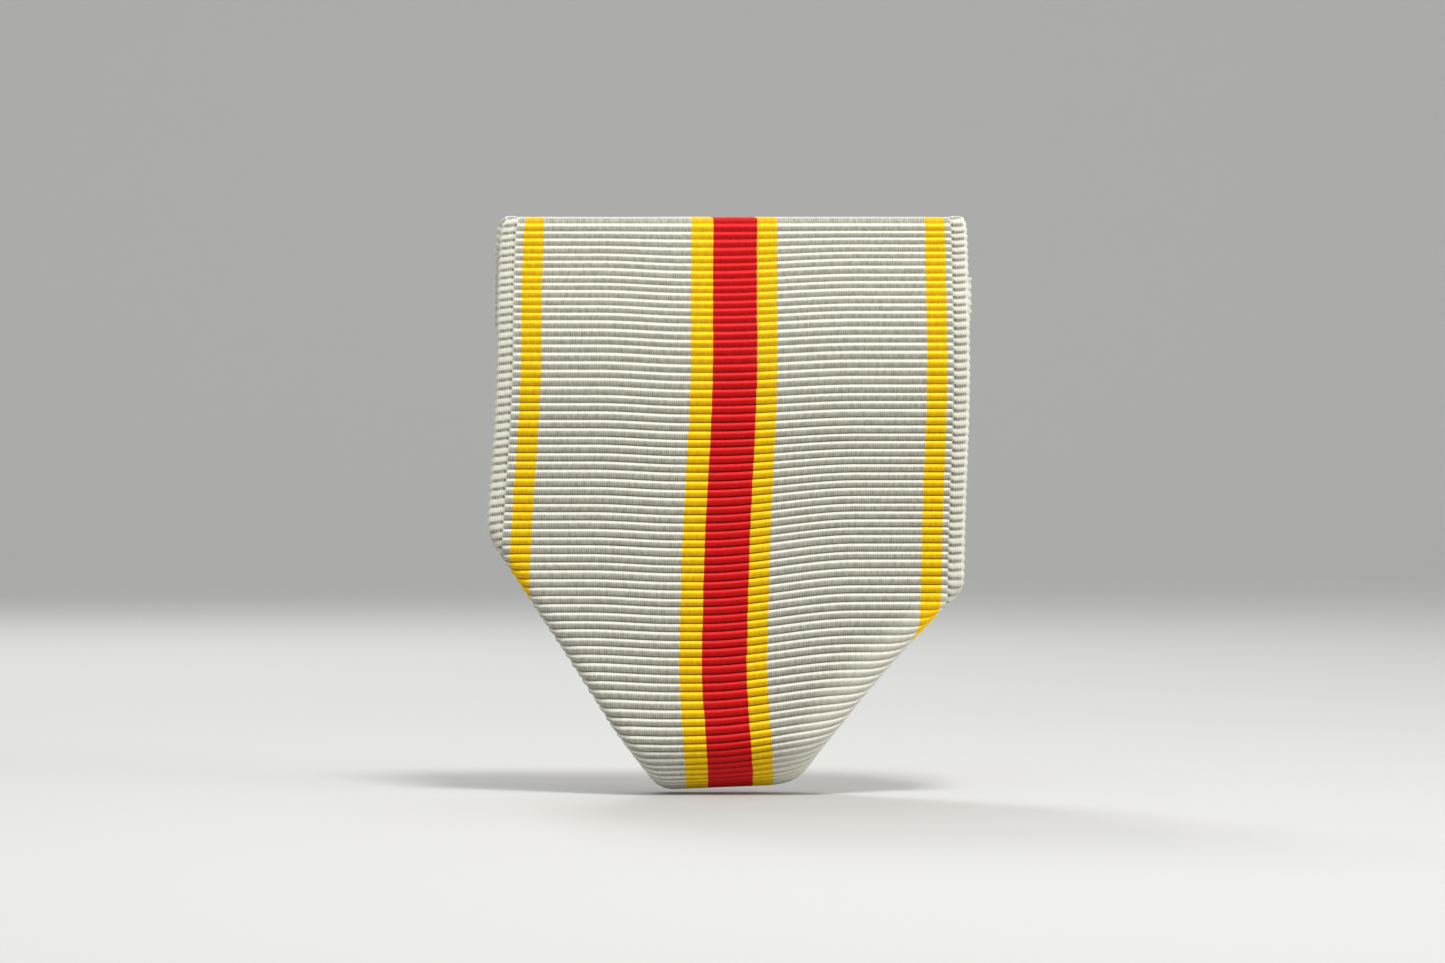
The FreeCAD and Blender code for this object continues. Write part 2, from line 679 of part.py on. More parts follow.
def make_catch_body():
    """The catch: a drum along X with a slot at the back for the pin and a window for the tab."""
    body = add_body("catch_body", x="dims.catch_reach")
    add_foot(body, "-dims.catch_length * 0.7", "dims.rivet_reach - dims.catch_reach + dims.foot_overhang")
    neck = add_sketch(body, "neck_outline", "YZ_Plane")
    rectangle(
        neck, "-dims.pin_standoff + dims.foot_thick / 2", "-dims.catch_bore",
        "-dims.catch_neck / 2", "dims.catch_neck / 2",
    )
    extrude(body, "Pad", "neck", neck, "dims.catch_length", midplane=True)
    drum = add_sketch(body, "drum_outline", "YZ_Plane")
    circle(drum, "dims.catch_radius")
    extrude(body, "Pad", "drum", drum, "dims.catch_length", midplane=True)
    bore = add_sketch(body, "bore_outline", "YZ_Plane")
    circle(bore, "dims.catch_bore")
    cut(body, "bore", bore, "dims.catch_bore_length", midplane=True)
    slot = add_sketch(body, "slot_outline", "YZ_Plane")
    half = value("catch_slot") / 2
    far = 2 * value("catch_radius")
    lines = [
        sketch_line(slot, (0, half), (far, half)),
        sketch_line(slot, (far, half), (far, -half)),
        sketch_line(slot, (far, -half), (0, -half)),
    ]
    ring = Part.Circle(Vector(0, 0, 0), Vector(0, 0, 1), half)
    bottom = slot.addGeometry(Part.ArcOfCircle(ring, math.pi / 2, 3 * math.pi / 2))
    constrain(slot, "Coincident", lines[0], 2, lines[1], 1)
    constrain(slot, "Coincident", lines[1], 2, lines[2], 1)
    constrain(slot, "Tangent", lines[0], 1, bottom, 1)
    constrain(slot, "Tangent", lines[2], 2, bottom, 2)
    constrain(slot, "Coincident", bottom, 3, -1, 1)
    constrain(slot, "Vertical", lines[1])
    constrain(slot, "Horizontal", lines[0])
    constrain(slot, "Radius", bottom, expression="dims.catch_slot / 2", number=half)
    constrain(
        slot, "DistanceX", -1, 1, lines[1], 1, expression="2 * dims.catch_radius", number=far
    )
    cut(body, "slot", slot, "2 * dims.catch_length", midplane=True)
    window = add_sketch(body, "window_outline", "YZ_Plane")
    low = math.radians(-value("window_start"))
    high = math.radians(value("window_end"))
    points = [(0, 0)]
    for share in (0, 0.25, 0.5, 0.75, 1):
        turn = low + share * (high - low)
        points.append((far * math.cos(turn), far * math.sin(turn)))
    polygon(window, points)
    cut(body, "window", window, "dims.catch_bore_length", midplane=True)
    drill_foot(body, "dims.rivet_reach - dims.catch_reach")
    return body


def sketch_line(sketch, start, end):
    return sketch.addGeometry(Part.LineSegment(Vector(*start, 0), Vector(*end, 0)))


def make_catch_lock():
    """The turning lock: a slit ring inside the drum, with a tab for a finger nail."""
    body = add_body("catch_lock", x="dims.catch_reach")
    ring = add_sketch(body, "ring_outline", "YZ_Plane")
    circle(ring, "dims.catch_bore - dims.lock_play")
    length = "dims.catch_bore_length - 2 * dims.lock_play"
    extrude(body, "Pad", "ring", ring, length, midplane=True)
    turn = -math.radians(value("tab_angle"))
    along = Vector(math.cos(turn), math.sin(turn), 0)
    across = Vector(-along.y, along.x, 0) * (value("tab_width") / 2)
    root = along * (value("catch_bore") * 0.7)
    end = along * value("tab_length")
    arm = add_sketch(body, "arm_outline", "YZ_Plane")
    polygon(arm, [(p.x, p.y) for p in (root - across, end - across, end + across, root + across)])
    extrude(body, "Pad", "arm", arm, "dims.tab_thick", midplane=True)
    knob = add_sketch(body, "knob_outline", "YZ_Plane")
    circle(
        knob, "dims.tab_knob_radius",
        "dims.tab_length * cos(dims.tab_angle * 1 deg)",
        "-dims.tab_length * sin(dims.tab_angle * 1 deg)",
    )
    extrude(body, "Pad", "knob", knob, "dims.tab_thick", midplane=True)
    bore = add_sketch(body, "bore_outline", "YZ_Plane")
    circle(bore, "dims.lock_bore")
    cut(body, "bore", bore, "2 * dims.catch_bore_length", midplane=True)
    slit = add_sketch(body, "slit_outline", "YZ_Plane")
    rectangle(slit, "0", "2 * dims.catch_bore", "-dims.catch_slot / 2", "dims.catch_slot / 2")
    cut(body, "slit", slit, "2 * dims.catch_bore_length", midplane=True)
    return body


def make_rivet(label, across):
    """A rivet through foot, bar, ribbon and plate: flush in front, domed behind."""
    body = add_body(label, x=across)
    sketch = add_sketch(body, "outline", "XY_Plane")
    front = layer_depths()[2] + value("ribbon_thick") / 2
    foot = -value("pin_standoff") + value("foot_thick")
    radius = value("rivet_radius")
    flare = value("rivet_flare")
    head = value("rivet_head_radius")
    rise = value("rivet_head_rise")
    sphere = (head ** 2 + rise ** 2) / (2 * rise)
    dome_y = foot + rise - sphere
    spread = math.asin(head / sphere)
    lines = [
        sketch_line(sketch, (0, foot + rise), (0, front)),
        sketch_line(sketch, (0, front), (radius + flare, front)),
        sketch_line(sketch, (radius + flare, front), (radius, front + flare)),
        sketch_line(sketch, (radius, front + flare), (radius, foot)),
        sketch_line(sketch, (radius, foot), (head, foot)),
    ]
    ring = Part.Circle(Vector(0, dome_y, 0), Vector(0, 0, 1), sphere)
    dome = sketch.addGeometry(Part.ArcOfCircle(ring, math.pi / 2 - spread, math.pi / 2))
    for here, there in zip(lines, lines[1:]):
        constrain(sketch, "Coincident", here, 2, there, 1)
    constrain(sketch, "Coincident", lines[-1], 2, dome, 1)
    constrain(sketch, "Coincident", dome, 2, lines[0], 1)
    places = (
        (lines[1], 1, "0", f"-{PLATE_FRONT}"),
        (lines[2], 1, "dims.rivet_radius + dims.rivet_flare", f"-{PLATE_FRONT}"),
        (lines[3], 1, "dims.rivet_radius", f"-{PLATE_FRONT} + dims.rivet_flare"),
        (lines[4], 1, "dims.rivet_radius", "-dims.pin_standoff + dims.foot_thick"),
        (lines[4], 2, "dims.rivet_head_radius", "-dims.pin_standoff + dims.foot_thick"),
        (lines[0], 1, "0", "-dims.pin_standoff + dims.foot_thick + dims.rivet_head_rise"),
    )
    for line, vertex, right, up in places:
        first = [float(sketch.evalExpression(side)) for side in (right, up)]
        locate(sketch, line, vertex, right, up, first)
    revolve(body, "turned", sketch, "V_Axis")
    return body


pieces = [
    make_ribbon(),
    make_brooch_plate(),
    make_clamp_bar(),
    make_hinge_bracket(),
    make_hinge_pivot(),
    make_pin_stem(),
    make_catch_body(),
    make_catch_lock(),
    make_rivet("hinge_rivet", "-dims.rivet_reach"),
    make_rivet("catch_rivet", "dims.rivet_reach"),
]
doc.recompute()

for item in doc.Objects:
    if {"Invalid", "Error"} & set(item.State):
        raise RuntimeError(f"{item.Label} failed: {item.State}")
os.makedirs("parts", exist_ok=True)
for piece in pieces:
    shape = piece.Shape
    if shape.isNull() or not shape.isValid() or len(shape.Solids) != 1:
        raise RuntimeError(f"{piece.Label}: not one valid solid")
    shape.exportStep(os.path.join("parts", f"{piece.Label}.step"))
    print(f"{piece.Label}: {shape.Volume:.2f} mm3")
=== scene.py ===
"""The folded ribbon of a medal on its brooch: looks, light and camera.

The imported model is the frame. The ribbon's plain solid is replaced by one woven strip,
and the brooch's pieces keep their shapes and get their metals.
"""
import math

import bpy
import numpy as np
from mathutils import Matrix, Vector


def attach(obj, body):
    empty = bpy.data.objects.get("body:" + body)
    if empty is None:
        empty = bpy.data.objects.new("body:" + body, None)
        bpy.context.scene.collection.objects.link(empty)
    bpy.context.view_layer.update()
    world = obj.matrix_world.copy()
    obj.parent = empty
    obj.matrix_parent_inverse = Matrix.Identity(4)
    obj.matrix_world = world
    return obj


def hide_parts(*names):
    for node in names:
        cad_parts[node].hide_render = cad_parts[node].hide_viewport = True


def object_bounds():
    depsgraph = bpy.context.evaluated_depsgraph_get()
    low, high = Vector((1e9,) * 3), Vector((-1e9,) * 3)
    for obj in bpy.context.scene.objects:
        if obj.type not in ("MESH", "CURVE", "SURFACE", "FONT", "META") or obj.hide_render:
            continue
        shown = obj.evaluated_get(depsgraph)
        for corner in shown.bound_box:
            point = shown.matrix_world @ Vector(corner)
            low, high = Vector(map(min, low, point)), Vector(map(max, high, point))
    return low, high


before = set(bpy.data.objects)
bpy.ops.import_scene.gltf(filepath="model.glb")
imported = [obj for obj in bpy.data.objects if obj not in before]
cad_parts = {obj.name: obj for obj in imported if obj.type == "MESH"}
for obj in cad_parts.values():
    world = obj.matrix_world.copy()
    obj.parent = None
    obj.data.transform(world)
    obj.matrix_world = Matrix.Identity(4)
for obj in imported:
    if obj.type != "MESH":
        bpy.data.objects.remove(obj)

CAD_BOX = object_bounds()
MM = 0.001
RANDOM = np.random.default_rng(11)

# ---------------------------------------------------------------- the strip's sizes, in mm
WIDTH = 34.925
# The stripes from the left edge: each is close to a whole number of sixteenths of an inch.
STRIPES = (
    ("white", 1.75), ("yellow", 1.5), ("white", 11.03), ("yellow", 1.61), ("red", 3.3),
    ("yellow", 1.54), ("white", 10.97), ("yellow", 1.55), ("white", 1.675),
)
# The side view of the mid-surface, from the end behind the plate: (kind, size, degrees).
RUNS = (
    ("line", 7.35, 0), ("arc", 0.6, 170), ("line", 5.464, 0), ("arc", 20.0, 8),
    ("line", 29.226, 0), ("arc", 4.0, 92), ("arc", 1.717, 93.3), ("line", 29.08, 0),
    ("arc", 40.0, -3.3), ("line", 4.6, 0),
)
START_Y, START_Z = -3.57, -2.6
TOP_Z, BOTTOM_Z = 5.6, -36.9
SELVEDGE = 1.16
# How far the selvedge's loops lie behind the ribs, in ribs: at its inner side, and how much
# that grows towards the edge.
LEFT_LAG = (0.36, 0.24)
RIGHT_LAG = (0.52, -0.14)
# Where along a rib its rows lie, and how far they stand from the mid-surface.
ROWS = (0.0, 0.15, 0.34, 0.5, 0.66, 0.85)
CREST = 0.25
RIB_PITCH = 0.62
THREAD = 0.127
# One unit of the texture map, in mm.
MAP_UNIT = 100
# The plane between the front and back panels, to which the tucked cloth leans.
MIDDLE_Y = -3.7
# Half the distance between the two layers of a tucked corner's fold.
FOLD_DEPTH = 0.56


def smooth(low, high, x):
    t = np.clip((x - low) / (high - low), 0, 1)
    return t * t * (3 - 2 * t)


def run_length(kind, size, degrees):
    return size if kind == "line" else size * math.radians(abs(degrees))


LENGTH = sum(run_length(*run) for run in RUNS)
TOP_S = run_length(*RUNS[0]) + RUNS[1][1] * math.pi / 2
BOTTOM_S = sum(run_length(*run) for run in RUNS[:6])


def side_view(s):
    """Y, Z and heading of the strip's mid-surface at the distance s along it."""
    y, z, heading = (np.zeros_like(s) for _ in range(3))
    here_y, here_z, turn, start = START_Y, START_Z, 0.0, 0.0
    for index, (kind, size, degrees) in enumerate(RUNS):
        length = run_length(kind, size, degrees)
        last = index == len(RUNS) - 1
        inside = (s >= start - 1e-9) & ((s < start + length - 1e-9) | last)

        def place(d):
            if kind == "line":
                return here_y - d * math.sin(turn), here_z + d * math.cos(turn), turn + 0 * d
            sign = 1 if degrees > 0 else -1
            now = turn + sign * d / size
            return (
                here_y + sign * size * (np.cos(now) - math.cos(turn)),
                here_z + sign * size * (np.sin(now) - math.sin(turn)),
                now,
            )

        y[inside], z[inside], heading[inside] = place(s[inside] - start)
        end = place(np.array([length]))
        here_y, here_z, turn = (float(v[0]) for v in end)
        start += length
    return y, z, heading


def waves(seed, across, along, scale_x, scale_s, count=6):
    """Slow, smooth, repeatable unevenness between about -1 and 1."""
    rng = np.random.default_rng(seed)
    total = 0.0
    for _ in range(count):
        kx, ks = rng.uniform(0.4, 1.3, 2) * rng.choice((-1, 1), 2)
        total = total + np.sin(across * kx / scale_x + along * ks / scale_s + rng.uniform(0, 6.28))
    return total / count ** 0.5 / 1.2


def rib_rows():
    """Distance along the strip and rib phase of each row of vertices."""
    knots = (0, 8, 9.5, 16, 19, 40, 43, 46, 48, 53, 58, LENGTH)
    pitch = (0.6, 0.6, 0.565, 0.565, 0.618, 0.618, 0.64, 0.64, 0.53, 0.53, 0.622, 0.622)
    fine = np.linspace(0, LENGTH, 6001)
    rate = 1 / np.interp(fine, knots, pitch)
    phase = np.concatenate(([0], np.cumsum((rate[1:] + rate[:-1]) / 2 * np.diff(fine))))
    ribs = int(round(phase[-1]))
    phase *= ribs / phase[-1]
    rows = np.array([k + part for k in range(ribs) for part in ROWS] + [ribs], float)
    s = np.interp(rows, phase, fine)
    # No two ribs are quite the same height.
    jitter = np.interp(rows, np.arange(ribs + 1), RANDOM.normal(0, 0.02, ribs + 1))
    s = s + jitter * (rows > 1) * (rows < ribs - 1)
    return s, rows, ribs


def columns():
    """Distance across the strip of each column: close together in the selvedges."""
    edge = [0.0, 0.09, 0.28, 0.52, 0.78, 0.98, SELVEDGE, 1.34, 1.7]
    middle = list(np.linspace(1.7, WIDTH - 1.7, 55))[1:-1]
    return np.array(edge + middle + [WIDTH - u for u in reversed(edge)])


def openness(s):
    """How far the ribs stand apart: packed near the top, drawn open lower down the front."""
    lower = smooth(TOP_S + 7, TOP_S + 17, s)
    return lower * (1 - 0.35 * smooth(BOTTOM_S - 1, BOTTOM_S + 2, s))


def bulge(t, gap):
    """A rib's half thickness over one pitch: a round cord, with a crisper gap if open."""
    valley = 0.105 - 0.05 * gap
    power = 0.95 - 0.38 * gap
    return valley + (CREST - valley) * np.abs(np.sin(math.pi * t)) ** power


def loop_lag(u):
    """How far the selvedge's loops lie behind the ribs, as a share of one rib."""
    outward = 1 - np.clip(np.minimum(u, WIDTH - u) / SELVEDGE, 0, 1)
    left, right = (inner + growth * outward for inner, growth in (LEFT_LAG, RIGHT_LAG))
    return np.where(u < WIDTH / 2, left, right)


def half_thickness(u, rib, gap):
    """Main ribs, and the selvedge's slanting loops between them."""
    from_edge = np.minimum(u, WIDTH - u)
    main = bulge(rib, gap)
    loops = 0.04 + bulge(rib - loop_lag(u), 0.75) * 0.95
    share = smooth(SELVEDGE - 0.12, SELVEDGE + 0.12, from_edge)
    thick = loops * (1 - share) + main * share
    hole = np.exp(-(((from_edge - SELVEDGE + 0.08) / 0.12) ** 2))
    thick = thick * (1 - 0.5 * hole * np.clip(np.cos(2 * math.pi * (rib - 0.25)), 0, 1))
    edge = np.sqrt(np.clip(1 - (1 - np.clip(from_edge / 0.3, 0, 1)) ** 2, 0.06, 1))
    uneven = 1 + 0.05 * waves(5, u, rib, 2.2, 1.1)
    return thick * edge * uneven


def fold_line(side, height):
    """The front view's silhouette of a tucked corner: distance from x = 0, and its slope."""
    if side < 0:
        return 5.30 + 0.66 * height, 0.66 + 0 * height
    return 4.98 + 0.559 * height + 0.0165 * height ** 2, 0.559 + 0.033 * height


def fold_radius(side, height):
    """How soft the fold is in the front view: the left one tight, the right one loose."""
    if side < 0:
        return 0.85 + 0.25 * smooth(7, 2, height)
    return 0.8 + 1.25 * smooth(15.5, 9, height)


def weave_skew(across, u, s):
    """How far a rib leaves its level: handling has drawn the weave out of square.

    On the front, ribs sink left of the middle and rise right of it.
    """
    drop = np.interp(s, (TOP_S, BOTTOM_S - 3.6, BOTTOM_S, BOTTOM_S + 12), (0, 41, 42, 10))
    skew = 0.235 * smooth(-10, -3.5, across)
    skew = skew - (0.44 + 0.56 * smooth(14, 26, drop)) * smooth(-1.5, 9.5, across)
    fade = smooth(TOP_S + 0.3, TOP_S + 4, s) * (1 - smooth(BOTTOM_S, BOTTOM_S + 12, s))
    skew = skew * fade + 0.035 * waves(3, u, s, 4.5, 7.0) * smooth(TOP_S + 1, TOP_S + 5, s)
    ends = smooth(0, 2, s) * (1 - smooth(LENGTH - 3, LENGTH - 1, s))
    return skew * ends


def sideways_place(across, u, s, below, front, back):
    """X before the corners are tucked; below is the distance under the top edge."""
    drift = 0.20 - 0.85 * smooth(8, 35, below) + 0.5 * smooth(33, 42, below)
    spread = 0.011 * smooth(9, 29, below) - 0.012 * np.exp(-below / 5)
    x = across * (1 + spread * front) + drift * front
    x = x + (0.15 - 0.4 * smooth(8, 30, below) + 0.005 * across) * back
    # Top corners pulled round the plate's ends, and the cut end standing out on the right.
    near_top = np.exp(-below / 0.34)
    x = x + 1.2 * near_top * np.clip(1 - u / 3.5, 0, 1) ** 1.5
    x = x - 0.4 * near_top * np.clip(1 - (WIDTH - u) / 3.0, 0, 1) ** 1.5
    loose = smooth(LENGTH - 4.5, LENGTH - 2.2, s) * np.clip(1 - (WIDTH - u) / 2.5, 0, 1)
    x = x + 0.2 * loose
    return x + 0.03 * waves(9, u * 0, s, 1.0, 3.0)


def tuck_corner(side, x, height, back):
    """The cloth of one corner, turned round its fold and mirrored in the fold's line.

    Gives how far each point lies past the start of the fold, its new x, its shift in z,
    how far it goes in between the panels, and its share of the inner leaf.
    """
    reach, slope = fold_line(side, height)
    lean = np.arctan(slope)
    radius = fold_radius(side, height)
    limit = reach - radius / np.cos(lean) - 0.1 * back
    from_fold = side * x - limit
    past = np.clip(from_fold, 0, None)
    turned = np.cos(lean) * past / radius
    out = np.where(turned < math.pi, radius * np.sin(turned), radius * (math.pi - turned))
    inward = FOLD_DEPTH * (1 - np.cos(np.minimum(turned, math.pi)))
    slide = -np.sin(lean) * past
    new_x = side * (limit + slide * -np.sin(lean) + out * np.cos(lean))
    shift_z = -slide * np.cos(lean) - out * np.sin(lean)
    leaf = 1 - np.exp(-np.clip(past - math.pi * radius / np.cos(lean), 0, None) / 5)
    return from_fold, new_x, shift_z, inward, leaf


def mid_surface(u, s):
    """The strip's mid-surface in mm with its corners tucked in, and where it is drawn tight."""
    front = smooth(TOP_S - 0.2, TOP_S + 0.6, s) * (1 - smooth(BOTTOM_S - 1.5, BOTTOM_S + 1.5, s))
    back = smooth(BOTTOM_S - 1.5, BOTTOM_S + 1.5, s)
    across = u - WIDTH / 2
    y, z, heading = side_view(np.clip(s + weave_skew(across, u, s), 0, LENGTH))
    in_y, in_z = -np.cos(heading), -np.sin(heading)
    x = sideways_place(across, u, s, TOP_Z - z, front, back)

    height = z - BOTTOM_Z
    depth, drawn, tucked, shift_x, shift_z = (np.zeros_like(x) for _ in range(5))
    for side in (-1, 1):
        from_fold, new_x, new_z, inward, leaf = tuck_corner(side, x, height, back)
        moved = from_fold > 0
        shift_x = np.where(moved, new_x - x, shift_x)
        shift_z = np.where(moved, new_z, shift_z)
        depth = np.where(moved, inward, depth)
        tucked = np.where(moved, leaf, tucked)
        if side > 0:
            drawn = smooth(-1.6, 1.3, from_fold) * smooth(17, 15, height) * front
    x = x + shift_x
    z = z + shift_z
    y = y + depth * in_y
    z = z + depth * in_z
    y = y + 0.28 * tucked * (MIDDLE_Y - y)
    # The bottom edge isn't quite level.
    low = 1 - smooth(0, 10, z - BOTTOM_Z)
    z = z + 0.04 * (x + 1.2) * low
    # The panels are soft cloth, so they swell and sink a little.
    soft = 0.09 * waves(21, u, s, 5.5, 6.0) * smooth(TOP_S + 1.5, TOP_S + 6, s)
    soft = soft * (1 - smooth(LENGTH - 16, LENGTH - 9, s))
    y = y + soft * -in_y
    return np.stack((x, y, z), -1), drawn


def surface_normals(points):
    """Unit normals of a grid of points, pointing out of the loop."""
    along = np.gradient(points, axis=0)
    across = np.gradient(points, axis=1)
    normal = np.cross(along, across)
    length = np.linalg.norm(normal, axis=-1, keepdims=True)
    return normal / np.maximum(length, 1e-12)


def weave_strip():
    """One closed mesh: outer and inner faces with their ribs, two selvedges, two cut ends."""
    s, rib, ribs = rib_rows()
    u = columns()
    grid_u, grid_s = np.meshgrid(u, s)
    grid_rib = np.repeat(rib[:, None], len(u), axis=1)
    middle, drawn = mid_surface(grid_u, grid_s)
    normal = surface_normals(middle)
    gap_width = openness(grid_s)
    thick = half_thickness(grid_u, grid_rib, gap_width)
    thick = thick + 0.3 * drawn * (0.22 - thick) * (thick > 0.06)
    # The loops of the selvedge stand out beyond the edge, one between each two ribs.
    scallop = np.abs(np.sin(math.pi * (grid_rib - loop_lag(grid_u)))) ** 0.8
    sideways = np.gradient(middle, axis=1)
    sideways /= np.linalg.norm(sideways, axis=-1, keepdims=True)
    left = np.clip(1 - grid_u / 0.35, 0, 1)
    right = np.clip(1 - (WIDTH - grid_u) / 0.35, 0, 1)
    middle = middle + sideways * ((right - left) * (0.11 * scallop - 0.05))[..., None]
    outer = middle + normal * thick[..., None]
    inner_columns = np.arange(0, len(u), 2)
    inner = (middle - normal * thick[..., None])[:, inner_columns]

    rows, wide, narrow = len(s), len(u), len(inner_columns)
    points = np.concatenate((outer.reshape(-1, 3), inner.reshape(-1, 3))) * MM
    outside = np.arange(rows * wide).reshape(rows, wide)
    inside = rows * wide + np.arange(rows * narrow).reshape(rows, narrow)

    def quads(index, flip):
        a, b = index[:-1, :-1], index[:-1, 1:]
        c, d = index[1:, 1:], index[1:, :-1]
        order = (a, b, c, d) if flip else (a, d, c, b)
        return np.stack([part.ravel() for part in order], -1).tolist()

    faces = quads(outside, False) + quads(inside, True)
    for k in range(rows - 1):
        faces.append([outside[k, 0], inside[k, 0], inside[k + 1, 0], outside[k + 1, 0]])
        faces.append([outside[k + 1, -1], inside[k + 1, -1], inside[k, -1], outside[k, -1]])
    for j in range(narrow - 1):
        wide_j = 2 * j
        first = [outside[0, wide_j], outside[0, wide_j + 1], outside[0, wide_j + 2]]
        last = [outside[-1, wide_j + 2], outside[-1, wide_j + 1], outside[-1, wide_j]]
        faces.append(first + [inside[0, j + 1], inside[0, j]])
        faces.append(last + [inside[-1, j], inside[-1, j + 1]])
    faces = [[int(v) for v in face] for face in faces]

    mesh = bpy.data.meshes.new("ribbon_cloth")
    mesh.from_pydata(points.tolist(), [], faces)
    mesh.validate()
    mesh.polygons.foreach_set("use_smooth", [True] * len(mesh.polygons))

    def both_faces(grid):
        """One number for each vertex: the outer face's, then the inner face's."""
        return np.concatenate((grid.ravel(), grid[:, inner_columns].ravel()))

    every_u, every_rib = both_faces(grid_u), both_faces(grid_rib)
    rising = ((grid_s < TOP_S) | (grid_s > BOTTOM_S)).astype(float)
    for name, numbers in (
        ("across", every_u), ("rib", every_rib), ("open", both_faces(gap_width)),
        ("drawn", both_faces(drawn)), ("rising", both_faces(rising)),
    ):
        layer = mesh.attributes.new(name, "FLOAT", "POINT")
        layer.data.foreach_set("value", numbers.astype(np.float32))
    # The gaps between ribs stay crisp, so the edges along them are sharp.
    gap = np.zeros(len(points), bool)
    phase = np.abs(every_rib - np.round(every_rib)) < 1e-6
    main = (every_u > SELVEDGE) & (every_u < WIDTH - SELVEDGE)
    gap[phase & main] = True
    ends = np.empty(len(mesh.edges) * 2, np.int32)
    mesh.edges.foreach_get("vertices", ends)
    ends = ends.reshape(-1, 2)
    level = np.abs(every_rib[ends[:, 0]] - every_rib[ends[:, 1]]) < 1e-6
    sharp = gap[ends[:, 0]] & gap[ends[:, 1]] & level
    layer = mesh.attributes.new("sharp_edge", "BOOLEAN", "EDGE")
    layer.data.foreach_set("value", sharp)
    uv = mesh.uv_layers.new(name="strip")
    corner = np.empty(len(mesh.loops), np.int32)
    mesh.loops.foreach_get("vertex_index", corner)
    flat = np.stack((every_u[corner] / MAP_UNIT, every_rib[corner] * RIB_PITCH / MAP_UNIT), -1)
    uv.data.foreach_set("uv", flat.astype(np.float32).ravel())
    mesh.update()
    piece = bpy.data.objects.new("ribbon_cloth", mesh)
    bpy.context.scene.collection.objects.link(piece)
    return piece


# ---------------------------------------------------------------- materials
def new_material(name):
    material = bpy.data.materials.new(name)
    material.use_nodes = True
    tree = material.node_tree
    shader = tree.nodes["Principled BSDF"]
    return material, tree, shader


def node(tree, kind, **settings):
    made = tree.nodes.new(kind)
    for key, number in settings.items():
        setattr(made, key, number)
    return made


def feed(tree, socket, source):
    """Join a socket to another socket, or give it a plain number."""
    if isinstance(source, bpy.types.NodeSocket):
        tree.links.new(source, socket)
    else:
        socket.default_value = source


def calc(tree, operation, *inputs, clamp=False):
    made = node(tree, "ShaderNodeMath", operation=operation, use_clamp=clamp)
    for socket, source in zip(made.inputs, inputs):
        feed(tree, socket, source)
    return made.outputs[0]


def inverse(tree, source, clamp=False):
    """One less the source."""
    return calc(tree, "SUBTRACT", 1.0, source, clamp=clamp)


def distance(tree, source, centre):
    return calc(tree, "ABSOLUTE", calc(tree, "SUBTRACT", source, centre))


def attribute(tree, name):
    return node(tree, "ShaderNodeAttribute", attribute_name=name).outputs["Fac"]


def ramp_between(tree, source, low, high):
    """0 below low, 1 above high, smooth between."""
    made = node(tree, "ShaderNodeMapRange", interpolation_type="SMOOTHSTEP")
    feed(tree, made.inputs["Value"], source)
    made.inputs["From Min"].default_value = low
    made.inputs["From Max"].default_value = high
    return made.outputs["Result"]


def mix_colour(tree, factor, first, second, blend="MIX"):
    made = node(tree, "ShaderNodeMix", data_type="RGBA", blend_type=blend)
    feed(tree, made.inputs["Factor"], factor)
    feed(tree, made.inputs[6], first)
    feed(tree, made.inputs[7], second)
    return made.outputs[2]


def noise(tree, vector, scale, detail=2.0, roughness=0.5):
    made = node(tree, "ShaderNodeTexNoise")
    feed(tree, made.inputs["Vector"], vector)
    made.inputs["Scale"].default_value = scale
    made.inputs["Detail"].default_value = detail
    made.inputs["Roughness"].default_value = roughness
    return made.outputs["Fac"]


COLOURS = {
    "white": (0.70, 0.69, 0.615, 1), "yellow": (0.89, 0.61, 0.001, 1),
    "red": (0.68, 0.008, 0.013, 1),
}
# The colour that the painted shade on the ribbon darkens towards.
SHADE = (0.14, 0.13, 0.11, 1)

